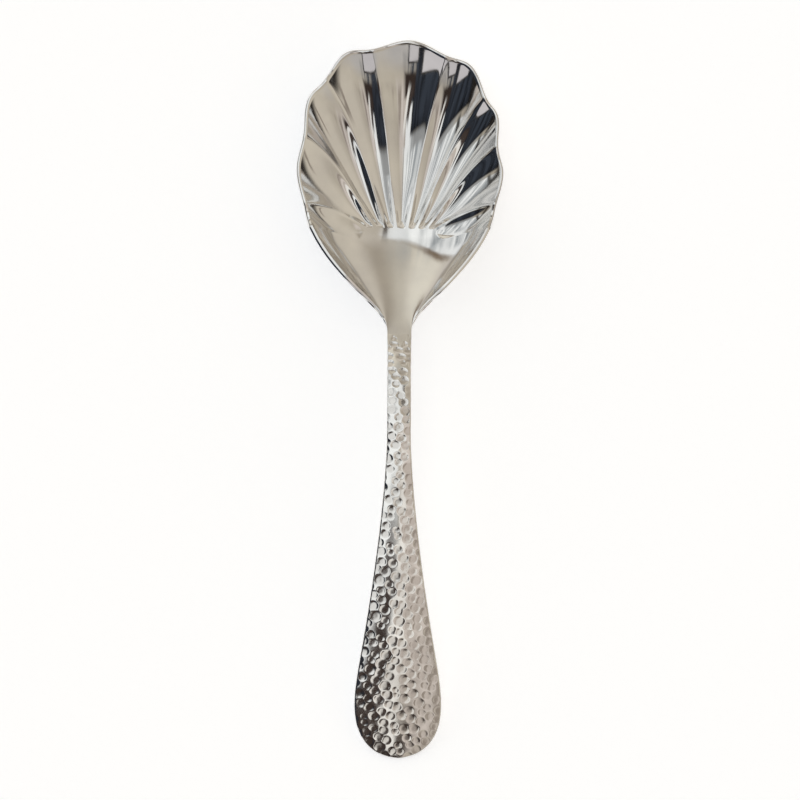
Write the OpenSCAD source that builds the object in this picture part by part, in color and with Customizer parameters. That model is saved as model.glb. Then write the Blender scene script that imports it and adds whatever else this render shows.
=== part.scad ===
// Serving spoon: a pressed shell bowl whose tang is brazed into a hammered handle.
// It lies face up on a table. +Y points from the handle to the bowl's tip and +Z points up.
// The middle of the spoon's length lies over the origin and the table is at zero height.

/* [Overall] */
// Length from the end of the handle to the tip of the bowl
overall_length = 240; // [220:1:260]

/* [Bowl] */
// Length of the bowl from the neck seam to the tip
bowl_length = 98; // [90:1:108]
// Width of the bowl across the fluted rim
bowl_width = 69; // [60:1:78]
// Distance from the widest line of the bowl to its tip
tip_reach = 43.3; // [40:0.1:48]
// Height of the rim above the inside of the bottom
bowl_depth = 14.5; // [11:0.5:18]
// Thickness of the bowl's sheet
sheet = 1.4; // [1:0.1:2]
// Squareness of the tip half of the rim, where 2 gives a plain ellipse
rim_squareness = 2.4; // [2:0.05:2.6]
// Steepness of the walls near the rim, where 2 gives a plain dish
wall_power = 2.5; // [2:0.1:3.2]

/* [Heel] */
// Height of the neck's top above the inside of the bottom
neck_rise = 15; // [12:0.5:18]
// Distance from the neck seam to the foot of the heel's ramp
ramp_length = 34; // [28:0.5:38]
// Softness of the bend at the foot of the ramp
ramp_bend = 8; // [5:0.5:12]
// Half width of the bowl at the middle of the shoulder
shoulder_half = 13; // [12:0.5:17]
// Distance from the neck seam to the middle of the shoulder
shoulder_at = 14.7; // [12:0.1:18]
// Sideways run of the shoulder for each millimetre of length
shoulder_run = 1.05; // [0.8:0.05:1.3]
// Share of the heel's wall that is a steep lip along the rim
lip_share = 0.35; // [0:0.05:0.5]

/* [Flutes] */
// Depth of the flutes at the rim
flute_depth_rim = 2.1; // [1:0.1:2.6]
// Depth of the flutes just past their round ends
flute_depth_root = 0.9; // [0.4:0.1:1.4]
// Depth of the two outermost flutes as a share of the others
side_flute_share = 0.65; // [0.3:0.05:1]
// Depth of the notches between the lobes of the rim
lobe_depth = 2.1; // [0.8:0.1:2.6]
// Distance from the neck seam to the point that the flutes spread from
hub_at = 24.7; // [22:0.1:28]
// Distance from that point to the round ends of the flutes
root_reach = 11; // [8:0.5:14]
// Length over which a flute's round end sinks in
root_round = 3; // [2:0.5:5]
// Angle from the shell's middle to the first ridge
ridge_1 = 9.9; // [8:0.1:11]
// Angle from the shell's middle to the second ridge
ridge_2 = 24.9; // [22:0.1:27]
// Angle from the shell's middle to the third ridge
ridge_3 = 38.4; // [35:0.1:42]
// Angle from the shell's middle to the fourth ridge
ridge_4 = 58.9; // [56:0.1:64]
// Angle from the shell's middle to the fourth ridge at the flutes' round ends
root_4 = 48; // [44:0.5:52]
// Angle from the shell's middle to the outer edge of the fan
fan_edge = 69.5; // [67:0.5:76]
// Angle from the shell's middle to the outer edge of the fan at the flutes' round ends
root_edge = 66; // [58:0.5:66]
// Turn of the middle of the fan about the point it spreads from
fan_turn = 2.5; // [0:0.5:4]
// Inward sweep of the flutes halfway to the rim
flute_bow = 0.1; // [0:0.01:0.15]
// Rounding of the ridges between the flutes
ridge_softness = 0.12; // [0.06:0.01:0.25]

/* [Neck] */
// Width of the neck
neck_width = 8; // [6.6:0.1:9]
// Thickness of the neck
neck_thickness = 3.2; // [2.8:0.1:4]
// Length of the straight neck behind the seam
neck_straight = 9.5; // [9.5:0.5:14]
// Length of the tang
tang_length = 8; // [6:0.5:9]
// Width of the tang
tang_width = 4; // [3:0.1:4.6]
// Thickness of the tang
tang_thickness = 1.3; // [1:0.1:1.5]
// Gap for the braze around the tang
braze_gap = 0.05; // [0.03:0.01:0.1]

/* [Handle] */
// Greatest width of the handle
handle_width = 29; // [24:0.1:33]
// Thickness of the handle at its end
end_thickness = 2.4; // [2:0.1:3]
// Distance from the end of the handle to where its round end begins
end_round = 36; // [28:0.5:42]
// Distance from the end of the handle to where it starts to widen
widen_at = 108; // [100:1:112]
// Radius of the bend over the crest of the handle
crest_radius = 50; // [44:1:70]
// Radius of the long bend behind the crest
back_radius = 480; // [400:10:900]
// Rise of the rounded front as a share of the half width
crown_share = 0.07; // [0.04:0.01:0.13]
// Width of the rounding along the edges of the front
edge_round = 1.6; // [1:0.1:2]
// Depth of the rounding along the edges of the front
edge_drop = 0.6; // [0.3:0.05:0.8]
// Depth of the flat that is ground under the end of the handle
foot_depth = 0.7; // [0.4:0.05:1]

/* [Hammer marks] */
// Usual width of a hammer mark
mark_width = 3.9; // [2.4:0.1:4.2]
// Depth of a hammer mark of the usual width
mark_depth = 0.18; // [0.12:0.01:0.25]
// Distance between neighbouring hammer marks
mark_pitch = 3.6; // [3.5:0.05:5]
// Wander of the marks as a share of their distance
mark_wander = 0.22; // [0:0.01:0.24]
// Turn of the rows of marks across the handle
mark_lean = 17; // [0:1:30]
// Loss of the rows' distance at the neck, as a share
mark_crowding = 0.45; // [0:0.05:0.5]
// Length over which the crowding fades
crowded_run = 28; // [20:1:40]

/* [Hidden] */
tip_y = overall_length / 2;
end_y = -overall_length / 2;
seam_y = tip_y - bowl_length;
wide_y = tip_y - tip_reach;
hub_y = seam_y + hub_at;
ramp_y = seam_y + ramp_length;
neck_half = neck_width / 2;
rim_out = sheet * sin(atan(wall_power * bowl_depth / (bowl_width / 2)));
mouth_half = bowl_width / 2 - rim_out;
mouth_reach = tip_reach - rim_out;
wall_start = 20;
wall_blend = 3;
lip_start = 46;
lip_run = 18;
lip_power = 12;
thin_run = 22;
spread_run = 30;
band_run = 8;
band_share = 0.6;
ridges = [-fan_edge, -ridge_4, -ridge_3, -ridge_2, -ridge_1, ridge_1, ridge_2, ridge_3, ridge_4, fan_edge];
flutes = len(ridges) - 1;
flute_cuts = 8;
side_cuts = 11;
seam_cuts = 4;
heel_steps = [0.3, 0.6, 0.85, 1];
flute_steps = [0.03, 0.07, 0.12, 0.2, 0.3, 0.41, 0.52, 0.63, 0.74, 0.84, 0.93, 1];
// Rings of the inside that the outside has too
outer_rings = [1, 3, 5, 6, 7, 9, 11, 13, 15];

function clamp(v) = max(0, min(1, v));
function ease(v) = let (c = clamp(v)) c * c * (3 - 2 * c);
function along(a, b, v) = a + (b - a) * v;
function unit(v) = v / norm(v);

// Cubic from a to b with end slopes p and q, for v from 0 to 1
function cubic(a, b, p, q, v) =
    a * (2 * v * v * v - 3 * v * v + 1) + p * (v * v * v - 2 * v * v + v)
    + b * (3 * v * v - 2 * v * v * v) + q * (v * v * v - v * v);

// Half width of the mouth on the heel side of the widest line
function heel_half(y) =
    let (s = seam_y + shoulder_at, upper = wide_y - s)
    y >= s
        ? cubic(mouth_half, shoulder_half, 0, -shoulder_run * upper, (wide_y - y) / upper)
        : cubic(shoulder_half, neck_half, -shoulder_run * shoulder_at, 0, clamp((s - y) / shoulder_at));

// Reach of a point towards the rim: 0 on the axis and 1 at the rim
function reach(x, y) =
    y >= wide_y
        ? pow(pow(abs(x) / mouth_half, rim_squareness) + pow((y - wide_y) / mouth_reach, rim_squareness),
              1 / rim_squareness)
        : abs(x) / heel_half(y);

// Height of the floor along the axis, level in the bowl and ramped up the heel
ramp_slope = 2 * neck_rise / (sqrt(ramp_length * ramp_length + ramp_bend * ramp_bend) + ramp_length);
function floor_z(y) =
    let (d = y - ramp_y)
    ramp_slope * (sqrt(d * d + ramp_bend * ramp_bend) - d) / 2;

// Height of the wall above the floor, fading out at the neck
function wall_z(y) =
    let (u = bowl_depth - floor_z(y))
    ease((y - seam_y) / wall_start) * (u + sqrt(u * u + wall_blend * wall_blend)) / 2;

// Inside of the bowl before the flutes are pressed in, with a steep lip along the rim of the heel
function dish_z(x, y) =
    let (r = reach(x, y), lip = lip_share * ease((seam_y + lip_start - y) / lip_run))
    floor_z(y) + wall_z(y) * ((1 - lip) * pow(r, wall_power) + lip * pow(r, lip_power));
function dish_normal(x, y) =
    let (h = 0.02)
    unit([
        (dish_z(x - h, y) - dish_z(x + h, y)) / (2 * h),
        (dish_z(x, y - h) - dish_z(x, y + h)) / (2 * h),
        1
    ]);
function sheet_at(y) = along(neck_thickness, sheet, ease((y - seam_y) / thin_run));

// Distance from the hub to the plain rim in a direction, by halving the interval
function in_mouth(x, y) = y > seam_y && reach(x, y) < 1;
function plain_rim(a, lo = 5, hi = 110, n = 24) =
    n == 0
        ? (lo + hi) / 2
        : let (m = (lo + hi) / 2)
          in_mouth(m * sin(a), hub_y + m * cos(a))
              ? plain_rim(a, m, hi, n - 1)
              : plain_rim(a, lo, m, n - 1);

// Share of the fan's turn and sweep at an angle: whole in its middle and gone at the fourth ridges
function middle(a) = lookup(abs(a), [[ridge_2, 1], [ridge_4, 0]]);
function turned(a) = a + fan_turn * middle(a);

// Spokes of the bowl: angle before the turn, flute number or -1, and place across the flute from -1 to 1
corner = atan2(neck_half, -hub_at);
spokes = concat(
    [for (f = [0:flutes - 1], i = [0:flute_cuts - 1])
        [along(ridges[f], ridges[f + 1], i / flute_cuts), f, 2 * i / flute_cuts - 1]],
    [for (i = [0:side_cuts - 1])
        [along(fan_edge, corner, i / side_cuts), -1, 0]],
    [for (i = [0:seam_cuts - 1])
        [atan2(neck_half * (1 - 2 * i / seam_cuts), -hub_at), -2, 0]],
    [for (i = [0:side_cuts - 1])
        [along(-corner, -fan_edge, i / side_cuts), i == 0 ? -2 : -1, 0]]
);

// Notch of the rim at the ridges; those beside the two side flutes are half as deep and run out
function notch(f, c) =
    let (
        last = f == 0 || f == flutes - 1,
        flank = (f == 1 && c < 0) || (f == flutes - 2 && c > 0),
        wave = last ? cos(45 * ((f == 0 ? -c : c) + 1)) : sin(90 * c)
    )
    f < 0 ? 0 : (last || flank ? 0.5 : 1) * lobe_depth * wave * wave;
function rim_at(s) =
    s[1] == -2 ? norm([hub_at * tan(s[0]), hub_at]) : plain_rim(turned(s[0])) - notch(s[1], s[2]);
// Direction at the flutes' round ends of a spoke with the given direction at the rim
root_knots = [[0, 0], [ridge_3, ridge_3], [ridge_4, root_4], [fan_edge, root_edge], [180, 180]];
function root_turn(a) = sign(a) * lookup(abs(a), root_knots);
root_lean = 0.72;
root_limit = 0.62;
function root_at(a, rim) =
    min(root_reach / max(cos(root_turn(a)), root_lean), root_limit * rim);

// Depth of the flute at a place along it in millimetres, out of its whole length; the flute opens
// from a finger's width at its round end to the whole width between the ridges
finger_share = 0.72;
finger_run = 0.3;
function flute_z(f, c, run, length) =
    let (
        v = run / length,
        sink = 1 - pow(1 - min(1, run / root_round), 2),
        share = f == 0 || f == flutes - 1 ? side_flute_share : 1,
        spread = along(finger_share, 1, min(1, v / finger_run)),
        arch = abs(c) < spread ? cos(90 * c / spread) : 0,
        e = ridge_softness
    )
    f < 0
        ? 0
        : share * (flute_depth_root * sink + (flute_depth_rim - flute_depth_root) * v)
          * (sqrt(arch * arch + e * e) - e) / (sqrt(1 + e * e) - e);

// Point of the inside at a distance from the hub along a spoke
function inside(s, rim, root, run) =
    let (
        v = clamp((run - root) / (rim - root)),
        sweep = 1 - flute_bow * sin(180 * v) * middle(s[0]),
        a = turned(along(root_turn(s[0]), s[0], v) * sweep),
        x = run * sin(a),
        y = s[1] == -2 && run == rim ? seam_y : hub_y + run * cos(a)
    )
    [x, y, dish_z(x, y) - flute_z(s[1], s[2], max(0, run - root), rim - root)];
// Point of the outside below it; near the neck the sheet hardly spreads sideways
function outside(p) =
    let (n = dish_normal(p[0], p[1]))
    p - sheet_at(p[1]) * [n[0] * ease((p[1] - seam_y) / spread_run), n[1], n[2]];

inner = [for (s = spokes)
    let (rim = rim_at(s), root = root_at(s[0], rim))
    concat(
        [for (t = heel_steps) inside(s, rim, root, root * t)],
        [for (t = flute_steps) inside(s, rim, root, along(root, rim, t))]
    )];
outer = [for (row = inner) [for (i = outer_rings) outside(row[i])]];
lift = -min([for (row = outer, p = row) p[2]]);

// Bowl skin: the inside, the edge with its level band and the outside of every spoke, from hub to hub
function edge_mid(k) =
    let (
        top = inner[k][len(inner[k]) - 1],
        low = outer[k][len(outer[k]) - 1],
        away = norm(top - [0, seam_y, top[2]]) - neck_half,
        level = spokes[k][1] == -2 ? 0 : band_share * ease(away / band_run)
    )
    along((top + low) / 2, [low[0], low[1], top[2]], level);
bowl_rows = [for (k = [0:len(spokes) - 1])
    concat(inner[k], [edge_mid(k)], [for (i = [len(outer[k]) - 1:-1:0]) outer[k][i]])];
hub_in = [0, hub_y, dish_z(0, hub_y)];
hub_out = outside(hub_in);

// Start of the handle: the slope of the neck and the top of the seam
neck_normal = dish_normal(0, seam_y);
neck_slope = atan2(neck_normal[1], neck_normal[2]);
seam_top = [0, seam_y, dish_z(0, seam_y) + lift];

// Front line of the handle as [y, z, slope] at a distance d behind the seam,
// where b is the slope behind the crest
function arc_shift(r, a, b) = [-r * (sin(a) - sin(b)), r * (cos(b) - cos(a))];
function front_line(d, b) =
    let (
        bend = crest_radius * (neck_slope + b) * PI / 180,
        p = [seam_y, seam_top[2]],
        q = p + neck_straight * [-cos(neck_slope), sin(neck_slope)],
        r = q + arc_shift(crest_radius, neck_slope, -b),
        d2 = d - neck_straight,
        a2 = neck_slope - d2 / crest_radius * 180 / PI,
        d3 = d2 - bend,
        a3 = -b - d3 / back_radius * 180 / PI
    )
    d2 <= 0
        ? [p[0] - d * cos(neck_slope), p[1] + d * sin(neck_slope), neck_slope]
        : d3 <= 0
            ? concat(q + arc_shift(crest_radius, neck_slope, a2), [a2])
            : concat(r + arc_shift(back_radius, -b, a3), [a3]);
// Distance behind the seam at which the front line comes to the end of the handle
function line_end(b, lo = 90, hi = 260, n = 26) =
    let (m = (lo + hi) / 2)
    n == 0 ? m : front_line(m, b)[0] > end_y ? line_end(b, m, hi, n - 1) : line_end(b, lo, m, n - 1);
// Slope behind the crest that brings the end of the handle down to the table
function end_gap(b) =
    let (e = front_line(line_end(b), b))
    e[1] - end_thickness * cos(e[2]) + foot_depth;
function find_fall(lo = 1, hi = 40, n = 22) =
    let (m = (lo + hi) / 2)
    n == 0 ? m : end_gap(m) > 0 ? find_fall(m, hi, n - 1) : find_fall(lo, m, n - 1);
fall = find_fall();
line_length = line_end(fall);

// Half width of the handle
widen_y = end_y + widen_at;
function round_end(y) = sqrt(1 - pow(clamp((end_y + end_round - y) / end_round), 3));
widest = end_y + 20;
flare_power = 1.5;
flare_start = 20;
crown_start = 10;
roll_share = 0.4;
flare_half = handle_width / 2 / round_end(widest) - neck_half;
function flare(y) =
    pow(max(0, widen_y - y) / (widen_y - widest), flare_power) * ease((seam_y - y) / flare_start);
function handle_half(y) = (neck_half + flare_half * flare(y)) * round_end(y);
function handle_thick(y) = along(neck_thickness, end_thickness, (seam_y - y) / (seam_y - end_y));
// Depth of the front below its middle line
function front_drop(x, half, fade) =
    let (
        roll = min(edge_round, roll_share * half),
        t = clamp((abs(x) - half + roll) / roll)
    )
    fade * (crown_share * half * pow(x / half, 2) + edge_drop * (1 - sqrt(1 - t * t)));

// Sections of the handle, each a closed loop of [across, up]
side_low = 0.4;
back_round = 0.35;
function section(y) =
    let (
        half = handle_half(y),
        thick = handle_thick(y),
        fade = ease((seam_y - y) / crown_start),
        roll = min(edge_round, roll_share * half),
        side = [half, half - 0.3 * roll, half - roll],
        flat = half - roll,
        xs = concat(side, [for (i = [2:-1:-2]) flat * i / 3], [for (i = [2:-1:0]) -side[i]]),
        low = half - back_round * fade,
        side_z = -along(thick / 2, thick - side_low, fade)
    )
    concat(
        [for (x = xs) [x, -front_drop(x, half, fade)]],
        [[-half, side_z], [-low, -thick], [low, -thick], [half, side_z]]
    );
body_cuts = 25;
end_cuts = 14;
end_run = 26;
body_length = line_length - end_run;
stations = concat(
    [for (i = [0:body_cuts - 1]) body_length * i / body_cuts],
    [for (i = [0:end_cuts]) body_length + end_run * sin(89.2 * i / end_cuts)]
);
function on_front(d, x, h) =
    let (e = front_line(d, fall))
    [x, e[0] + h * sin(e[2]), e[1] + h * cos(e[2])];
handle_rows = [for (d = stations)
    let (y = front_line(d, fall)[0])
    [for (p = section(y)) on_front(d, p[0], p[1])]];

// Hammer marks: leaning, staggered rows whose marks wander by a repeatable hash of row and place
function chance(i, j) = let (v = sin(i * 127.1 + j * 311.7) * 43758.5453) v - floor(v);
function wander(i, j) = mark_wander * mark_pitch * (2 * chance(i, j) - 1);
row_pitch = mark_pitch * sqrt(3) / 2;
// Place of a mark as [across, behind the seam], before the rows crowd together at the neck
function mark_place(i, j) =
    let (
        across = mark_pitch * (j + abs(i % 2) / 2) + wander(j + 40, i),
        behind = row_pitch * i + wander(i, j)
    )
    [across * cos(mark_lean) - behind * sin(mark_lean), across * sin(mark_lean) + behind * cos(mark_lean)];
// Share of the rows' distance that is left at a place, and the distance behind the seam that it leaves
function squeeze(behind) = 1 - mark_crowding * exp(-behind / crowded_run);
function crowded(behind) = behind - mark_crowding * crowded_run * (1 - exp(-behind / crowded_run));
// Distance to the nearest of the six marks around one
function mark_room(i, j) =
    let (
        p = mark_place(i, j),
        k = j + abs(i % 2),
        around = [[i, j - 1], [i, j + 1], [i - 1, k - 1], [i - 1, k], [i + 1, k - 1], [i + 1, k]]
    )
    min([for (n = around) norm(mark_place(n[0], n[1]) - p)]);
// Marks as [distance behind the seam, place across, width, squeeze], none wider than its room
first_mark = 1.8;
last_mark = line_length - 2.2;
edge_margin = 0.7;
mark_span = line_length + mark_crowding * crowded_run + handle_width;
mark_rows = ceil(mark_span / row_pitch);
mark_side = ceil(mark_span / mark_pitch);
marks = [for (i = [-mark_rows:mark_rows], j = [-mark_side:mark_side])
    let (p = mark_place(i, j), d = crowded(p[1]))
    if (d > first_mark && d < last_mark && abs(p[0]) < handle_half(front_line(d, fall)[0]) - edge_margin)
        let (size = mark_width * along(0.75, 1.25, chance(i + 7, j + 3)))
        [d, p[0], min(size, 0.98 * mark_room(i, j)), squeeze(p[1])]];

// Skin over closed loops of equal length, with caps that fan from the given points
module skin(rows, cap_first, cap_last) {
    n = len(rows);
    m = len(rows[0]);
    points = concat([for (r = rows, p = r) p], [cap_first, cap_last]);
    polyhedron(
        points = points,
        faces = concat(
            [for (k = [0:n - 2], i = [0:m - 1])
                each [
                    [k * m + i, (k + 1) * m + (i + 1) % m, k * m + (i + 1) % m],
                    [k * m + i, (k + 1) * m + i, (k + 1) * m + (i + 1) % m]
                ]],
            [for (i = [0:m - 1]) [n * m, i, (i + 1) % m]],
            [for (i = [0:m - 1]) [n * m + 1, (n - 1) * m + (i + 1) % m, (n - 1) * m + i]]
        ),
        convexity = 6
    );
}

// Skin over spokes that run from the inside hub to the outside hub
module spoke_skin(rows, first, last) {
    n = len(rows);
    m = len(rows[0]);
    polyhedron(
        points = concat([for (r = rows, p = r) p], [first, last]),
        faces = concat(
            [for (k = [0:n - 1], i = [0:m - 2])
                let (k2 = (k + 1) % n)
                each [
                    [k * m + i, k * m + i + 1, k2 * m + i + 1],
                    [k * m + i, k2 * m + i + 1, k2 * m + i]
                ]],
            [for (k = [0:n - 1]) [n * m, k * m, ((k + 1) % n) * m]],
            [for (k = [0:n - 1]) [n * m + 1, ((k + 1) % n) * m + m - 1, k * m + m - 1]]
        ),
        convexity = 8
    );
}

// Bar along the neck through the middle of its thickness, from a start to a length behind the seam
module neck_bar(start, length, width, thickness) {
    translate(seam_top)
        rotate([-neck_slope, 0, 0])
            translate([-width / 2, -length, -neck_thickness / 2 - thickness / 2])
                cube([width, length - start, thickness]);
}

module bowl() {
    color("silver")
    union() {
        translate([0, 0, lift])
            spoke_skin(bowl_rows, hub_in, hub_out);
        neck_bar(-3, tang_length, tang_width, tang_thickness);
    }
}

// Rounded punch that leaves a mark of the given [distance, place across, width, squeeze] in the front
module hammer_mark(mark) {
    half = handle_half(front_line(mark[0], fall)[0]);
    lean = atan(2 * crown_share * mark[1] / half);
    depth = mark_depth * mark[2] / mark_width;
    translate(on_front(mark[0], mark[1], -front_drop(mark[1], half, 1)))
        rotate([-front_line(mark[0], fall)[2], lean, 0])
            scale([1, mark[3], 1])
                hull()
                    for (ring = [[0.5, -1], [1, 0], [1.3, 1]])
                        translate([0, 0, ring[1] * depth])
                            rotate(360 * chance(mark[0], mark[1]))
                                cylinder(d = ring[0] * mark[2], h = 0.01, $fn = 6);
}

module handle() {
    color("lightgray")
    difference() {
        intersection() {
            skin(
                handle_rows,
                on_front(0, 0, -neck_thickness / 2),
                on_front(stations[len(stations) - 1], 0, -end_thickness / 2)
            );
            translate([-handle_width, end_y - 10, 0])
                cube([2 * handle_width, overall_length, 100]);
        }
        neck_bar(-1, tang_length + braze_gap, tang_width + 2 * braze_gap, tang_thickness + 2 * braze_gap);
        for (mark = marks)
            hammer_mark(mark);
    }
}

bowl();
handle();
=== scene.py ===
"""Serving spoon with a fluted shell bowl and a hammered handle, dressed around its packed solids.

Lengths are metres in the part's own frame: +Y runs from the handle to the tip of the bowl, +Z is up
and the table is at zero height.
"""

import math

import bpy
import numpy as np
from bpy.props import FloatProperty, PointerProperty, StringProperty
from mathutils import Matrix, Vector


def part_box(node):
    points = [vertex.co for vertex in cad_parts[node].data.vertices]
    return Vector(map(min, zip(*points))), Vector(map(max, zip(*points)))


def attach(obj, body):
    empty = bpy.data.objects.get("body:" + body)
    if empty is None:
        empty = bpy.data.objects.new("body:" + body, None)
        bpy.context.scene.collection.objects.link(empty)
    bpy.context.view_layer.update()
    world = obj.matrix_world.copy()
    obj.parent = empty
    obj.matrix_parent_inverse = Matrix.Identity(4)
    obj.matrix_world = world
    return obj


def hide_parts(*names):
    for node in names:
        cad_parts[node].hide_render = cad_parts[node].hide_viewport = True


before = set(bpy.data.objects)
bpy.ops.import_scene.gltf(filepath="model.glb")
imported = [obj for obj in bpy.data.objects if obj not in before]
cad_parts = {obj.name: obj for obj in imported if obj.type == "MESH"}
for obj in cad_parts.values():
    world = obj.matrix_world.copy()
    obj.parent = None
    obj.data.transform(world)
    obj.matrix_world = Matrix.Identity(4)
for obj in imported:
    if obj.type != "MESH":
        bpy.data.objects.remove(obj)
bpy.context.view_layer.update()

bl_info = {
    "name": "Shell Serving Spoon",
    "version": (1, 0, 0),
    "blender": (4, 5, 0),
    "location": "View3D > Sidebar > Spoon",
    "description": "Builds a serving spoon with a fluted bowl and a hammered handle",
    "category": "Add Mesh",
}

MM = 0.001
HANDLE_LOW, HANDLE_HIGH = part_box("handle")
SEAM_Y = HANDLE_HIGH.y
END_Y = HANDLE_LOW.y
TIP_Y = -END_Y

# Cuts of the meshes: fine enough that a mirror finish shows no facets
FLUTE_CUTS = 38
SIDE_CUTS = 36
SEAM_CUTS = 12
HEEL_RINGS = 20
FLUTE_RINGS = 96
HANDLE_STATIONS = 560
ROLL_CUTS = 8
FRONT_CUTS = 92
BACK_CUTS = 10
BACK_ROUND_CUTS = 4
# How strongly the cuts crowd towards the ridges, the neck and the flutes' round ends
RIDGE_CROWD = 0.45
SIDE_CROWD = 2.0
RING_CROWD = 0.4
# Edges that turn by more than this are drawn sharp
SHARP_ANGLE = math.radians(50)

# The rim's chamfer: its share of the edge's width, its slope, and its limit as a share of the edge's height
RIM_CHAMFER = 0.45
RIM_SLOPE = 0.93
RIM_FALL_LIMIT = 0.9
# Width of the edge beside the neck, where it is reached, and the run from there to the edge's own width
RIM_AT_NECK = 0.55 * MM
RIM_START = 5 * MM
RIM_RUN = 14 * MM
# Cuts of the rim's profile, as places between the corners of its band and chamfer
RIM_CUTS = (0.3, 0.8, 0.96, 1.06, 1.5, 1.94, 2.06, 2.5)

# Limits of the distance to the flutes' round ends: the least cosine, and the share of the way to the rim
ROOT_LEAN = 0.72
ROOT_LIMIT = 0.62
# Width of a flute at its round end and the length over which it opens, as shares of its own
ROOT_OPENING = 0.72
OPENING_RUN = 0.3
# Depth of the notches beside the two side flutes, as a share of the others
SIDE_NOTCH = 0.5
# Numbers of the spokes that belong to no flute
BESIDE = -1
ON_SEAM = -2


def length(name, description, default):
    """A length property, given in millimetres."""
    return FloatProperty(name=name, description=description, default=default * MM, min=0.0,
                         unit="LENGTH", precision=5)


def share(name, description, default):
    """A plain number property."""
    return FloatProperty(name=name, description=description, default=default)


def angle(name, description, default):
    """An angle property, given in degrees."""
    return FloatProperty(name=name, description=description, default=math.radians(default),
                         unit="ROTATION")


def colour(name, description, default):
    """A colour property that holds an sRGB hex value."""
    return StringProperty(name=name, description=description, default=default)


class SpoonBowl(bpy.types.PropertyGroup):
    """Sizes of the bowl's sheet and heel."""

    width: length("Width", "Width across the fluted rim", 69)
    tip_reach: length("Tip reach", "From the widest line to the tip", 43.3)
    depth: length("Depth", "Height of the rim above the inside of the bottom", 14.5)
    sheet: length("Sheet", "Thickness of the sheet", 1.4)
    squareness: share("Rim squareness", "Squareness of the tip half, 2 for a plain ellipse", 2.4)
    wall_power: share("Wall power", "Steepness of the walls near the rim, 2 for a plain dish", 2.5)
    lip_share: share("Lip share", "Share of the heel's wall that is a steep lip along the rim", 0.35)
    neck_rise: length("Neck rise", "Height of the neck's top above the inside of the bottom", 15)
    ramp_length: length("Ramp length", "From the seam to the foot of the heel's ramp", 34)
    ramp_bend: length("Ramp bend", "Softness of the bend at the foot of the ramp", 8)
    shoulder_half: length("Shoulder half width", "Half width at the middle of the shoulder", 13)
    shoulder_at: length("Shoulder place", "From the seam to the middle of the shoulder", 14.7)
    shoulder_run: share("Shoulder run", "Sideways run of the shoulder for each length", 1.05)
    neck_width: length("Neck width", "Width of the neck", 8)
    neck_thickness: length("Neck thickness", "Thickness of the neck", 3.2)
    lift: length("Lift", "Height of the inside of the bottom above the table, set with the bowl", 2.4)


class SpoonFlutes(bpy.types.PropertyGroup):
    """Sizes of the shell's flutes."""

    depth_rim: length("Depth at the rim", "Depth of the flutes at the rim", 2.1)
    depth_root: length("Depth at the root", "Depth just past the round ends", 0.9)
    side_share: share("Side share", "Depth of the two outermost flutes against the others", 0.4)
    lobe_depth: length("Lobe depth", "Depth of the notches between the rim's lobes", 2.1)
    hub_at: length("Hub place", "From the seam to the point that the flutes spread from", 24.7)
    root_reach: length("Root reach", "From that point to the flutes' round ends", 11)
    root_round: length("Root round", "Length over which a round end sinks in", 3)
    ridge_1: angle("First ridge", "From the shell's middle to the first ridge", 9.9)
    ridge_2: angle("Second ridge", "From the shell's middle to the second ridge", 24.9)
    ridge_3: angle("Third ridge", "From the shell's middle to the third ridge", 38.4)
    ridge_4: angle("Fourth ridge", "From the shell's middle to the fourth ridge", 58.9)
    root_4: angle("Fourth root", "From the shell's middle to that ridge at the flutes' round ends", 48)
    fan_edge: angle("Fan edge", "From the shell's middle to the edge of the fan", 69.5)
    root_edge: angle("Fan root", "From the shell's middle to that edge at the flutes' round ends", 66)
    fan_turn: angle("Fan turn", "Turn of the middle of the fan", 2.5)
    bow: share("Bow", "Inward sweep of the flutes halfway to the rim", 0.1)
    softness: share("Ridge softness", "Rounding of the ridges between the flutes", 0.12)


class SpoonHandle(bpy.types.PropertyGroup):
    """Sizes of the handle before it is hammered."""

    width: length("Width", "Greatest width of the handle", 29)
    end_thickness: length("End thickness", "Thickness at the end", 2.4)
    end_round: length("End round", "From the end to where the round end begins", 36)
    widen_at: length("Widening", "From the end to where the handle starts to widen", 108)
    neck_straight: length("Straight neck", "Length of the straight neck behind the seam", 9.5)
    crest_radius: length("Crest radius", "Radius of the bend over the crest", 50)
    back_radius: length("Back radius", "Radius of the long bend behind the crest", 480)
    crown_share: share("Crown", "Rise of the rounded front against the half width", 0.07)
    edge_round: length("Edge round", "Width of the rounding along the front's edges", 0.5)
    edge_drop: length("Edge drop", "Depth of the rounding along the front's edges", 0.3)
    foot_depth: length("Foot depth", "Depth of the flat ground under the end", 0.7)


class SpoonHammering(bpy.types.PropertyGroup):
    """Sizes of the hammer marks."""

    width: length("Width", "Usual width of a mark", 3.9)
    depth: length("Depth", "Depth of a mark of the usual width", 0.085)
    pitch: length("Pitch", "Distance between neighbouring marks", 3.6)
    wander: share("Wander", "Wander of the marks as a share of their distance", 0.22)
    lean: angle("Lean", "Turn of the rows of marks across the handle", 17)
    overlap: share("Overlap", "Greatest width of a mark against the distance to its nearest", 1.2)
    crowding: share("Crowding", "Loss of the rows' distance at the neck, as a share", 0.45)
    crowded_run: length("Crowded run", "Length over which the crowding fades", 28)
    neck_gain: share("Neck gain", "How much deeper the marks are at the neck, as a share", 2.0)
    ragged: length("Ragged start", "Greatest length by which the hammering starts late", 4)


class SpoonFinish(bpy.types.PropertyGroup):
    """Colours of the finishes, as sRGB hex values."""

    polished: colour("Polished steel", "Mirror-polished stainless steel", "#E6E4E0")
    hammered: colour("Hammered steel", "Hammered and polished stainless steel", "#F0EEEA")
    floor: colour("Floor", "Matt white table", "#F2F2F0")


def sizes_of(group):
    """The values of a property group by name."""
    return {name: getattr(group, name) for name in group.__annotations__}


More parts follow.
